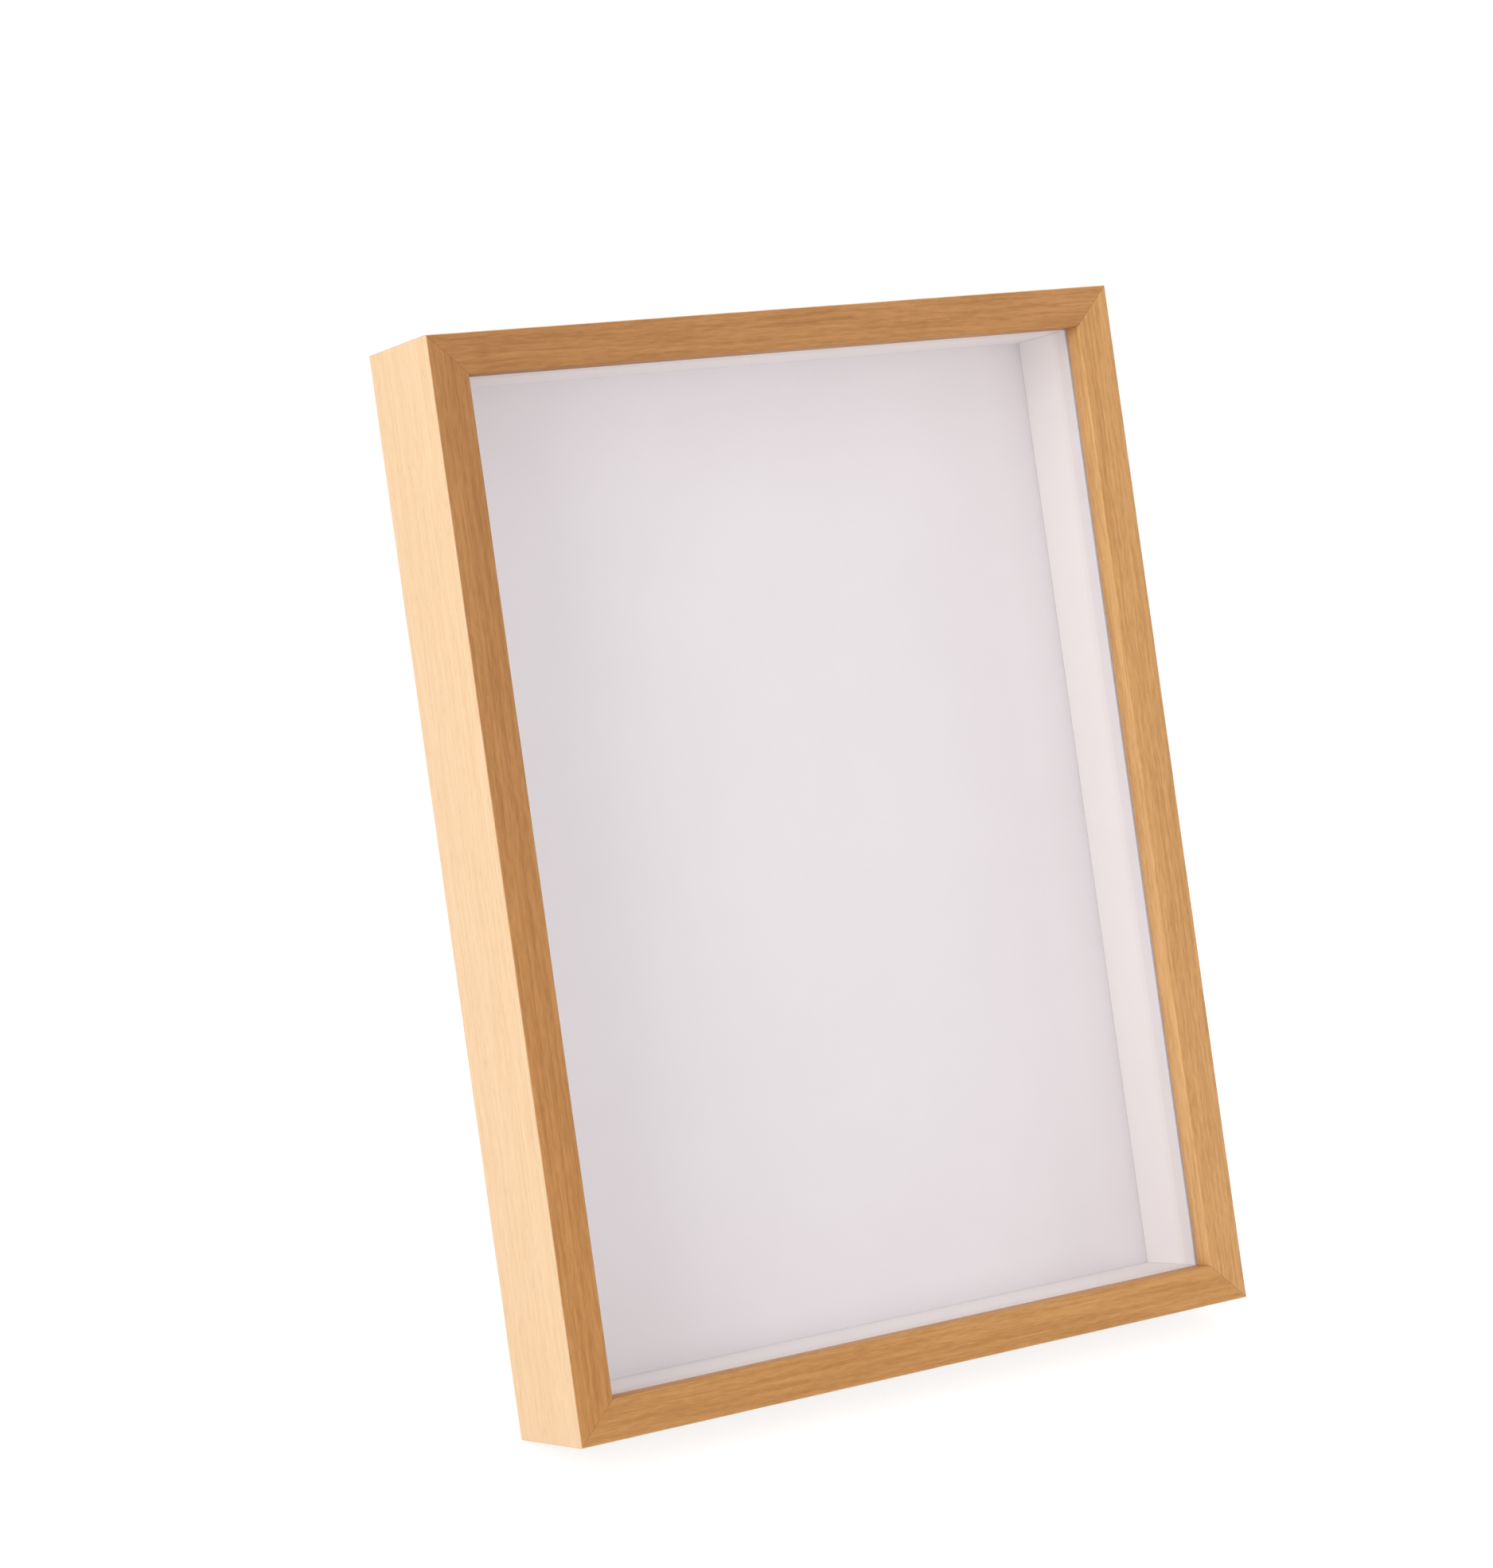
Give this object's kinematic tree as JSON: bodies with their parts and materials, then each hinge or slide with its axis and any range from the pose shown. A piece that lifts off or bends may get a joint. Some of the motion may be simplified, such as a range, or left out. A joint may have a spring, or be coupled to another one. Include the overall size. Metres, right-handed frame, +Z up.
{
  "type": "shadow box frame",
  "caption": "Deep oak display frame with a glass front, a white-lined well, a hardboard back held by turn buttons, a hinged easel leg and wire rings for hanging.",
  "frame": {"origin": "on the surface that the frame stands on, below the middle of the standing object's box", "axes": "+X to the right as seen from the front, +Y to the rear, +Z up; the frame leans back by 15.7 degrees about X"},
  "size_m": [0.232, 0.1448, 0.3113],
  "materials": {
    "oak": "light brown oak veneer with fine straight grain, satin",
    "clear_glass": "clear float glass with ground edges",
    "white_foam_board": "white paper facing on foam board, matt",
    "white_mount_board": "white mount board, matt with a faint tooth",
    "hardboard": "smooth brown hardboard with short fibres",
    "zinc_steel": "zinc plated sheet steel, lightly brushed",
    "button_steel": "tumbled sheet steel, satin",
    "nickel_wire": "nickel plated wire, bright",
    "fastener_steel": "zinc plated fasteners, bright"
  },
  "bodies": {
    "frame": {"back_board": "hardboard", "corner_wedges": "fastener_steel", "display_board": "white_mount_board", "glass_pane": "clear_glass", "hanger_rivets": "fastener_steel", "hanger_strap_left": "zinc_steel", "hanger_strap_right": "zinc_steel", "hinge_leaf_back": "zinc_steel", "hinge_pin": "nickel_wire", "hinge_rivets_back": "fastener_steel", "rail_bottom": "oak", "rail_left": "oak", "rail_right": "oak", "rail_top": "oak", "spacer_bottom": "white_foam_board", "spacer_left": "white_foam_board", "spacer_right": "white_foam_board", "spacer_top": "white_foam_board", "turn_button_screws": "fastener_steel"},
    "leg": {"easel_leg": "hardboard", "hinge_leaf_leg": "zinc_steel", "hinge_rivets_leg": "fastener_steel"},
    "turn_button_bottom_left": {"turn_button_bottom_left": "button_steel"},
    "turn_button_bottom_right": {"turn_button_bottom_right": "button_steel"},
    "turn_button_top_right": {"turn_button_top_right": "button_steel"},
    "turn_button_top_left": {"turn_button_top_left": "button_steel"},
    "turn_button_left_upper": {"turn_button_left_upper": "button_steel"},
    "turn_button_left_lower": {"turn_button_left_lower": "button_steel"},
    "turn_button_right_lower": {"turn_button_right_lower": "button_steel"},
    "turn_button_right_upper": {"turn_button_right_upper": "button_steel"},
    "hanger_ring_left": {"hanger_ring_left": "nickel_wire"},
    "hanger_ring_right": {"hanger_ring_right": "nickel_wire"}
  },
  "joints": [
    {"name": "leg_hinge", "type": "hinge", "parent": "frame", "child": "leg", "pos_m": [0, 0.02005, 0.19188], "axis": [1, 0, 0], "range_deg": [-30, 0]},
    {"name": "hanger_left_swing", "type": "hinge", "parent": "frame", "child": "hanger_ring_left", "pos_m": [-0.065, 0.03426, 0.24294], "axis": [1, 0, 0], "range_deg": [-7, 160]},
    {"name": "hanger_right_swing", "type": "hinge", "parent": "frame", "child": "hanger_ring_right", "pos_m": [0.065, 0.03426, 0.24294], "axis": [1, 0, 0], "range_deg": [-7, 160]},
    {"name": "turn_button_bottom_left_turn", "type": "hinge", "parent": "frame", "child": "turn_button_bottom_left", "pos_m": [-0.066, -0.03489, 0.00352], "axis": [0, 0.9627, -0.2706], "range_deg": [-90, 90]},
    {"name": "turn_button_bottom_right_turn", "type": "hinge", "parent": "frame", "child": "turn_button_bottom_right", "pos_m": [0.066, -0.03489, 0.00352], "axis": [0, 0.9627, -0.2706], "range_deg": [-90, 90]},
    {"name": "turn_button_top_right_turn", "type": "hinge", "parent": "frame", "child": "turn_button_top_right", "pos_m": [0.066, 0.04775, 0.29752], "axis": [0, 0.9627, -0.2706], "range_deg": [-90, 90]},
    {"name": "turn_button_top_left_turn", "type": "hinge", "parent": "frame", "child": "turn_button_top_left", "pos_m": [-0.066, 0.04775, 0.29752], "axis": [0, 0.9627, -0.2706], "range_deg": [-90, 90]},
    {"name": "turn_button_left_upper_turn", "type": "hinge", "parent": "frame", "child": "turn_button_left_upper", "pos_m": [-0.1122, 0.02848, 0.22898], "axis": [0, 0.9627, -0.2706], "range_deg": [-90, 90]},
    {"name": "turn_button_left_lower_turn", "type": "hinge", "parent": "frame", "child": "turn_button_left_lower", "pos_m": [-0.1122, -0.01562, 0.07206], "axis": [0, 0.9627, -0.2706], "range_deg": [-90, 90]},
    {"name": "turn_button_right_lower_turn", "type": "hinge", "parent": "frame", "child": "turn_button_right_lower", "pos_m": [0.1122, -0.01562, 0.07206], "axis": [0, 0.9627, -0.2706], "range_deg": [-90, 90]},
    {"name": "turn_button_right_upper_turn", "type": "hinge", "parent": "frame", "child": "turn_button_right_upper", "pos_m": [0.1122, 0.02848, 0.22898], "axis": [0, 0.9627, -0.2706], "range_deg": [-90, 90]}
  ]
}
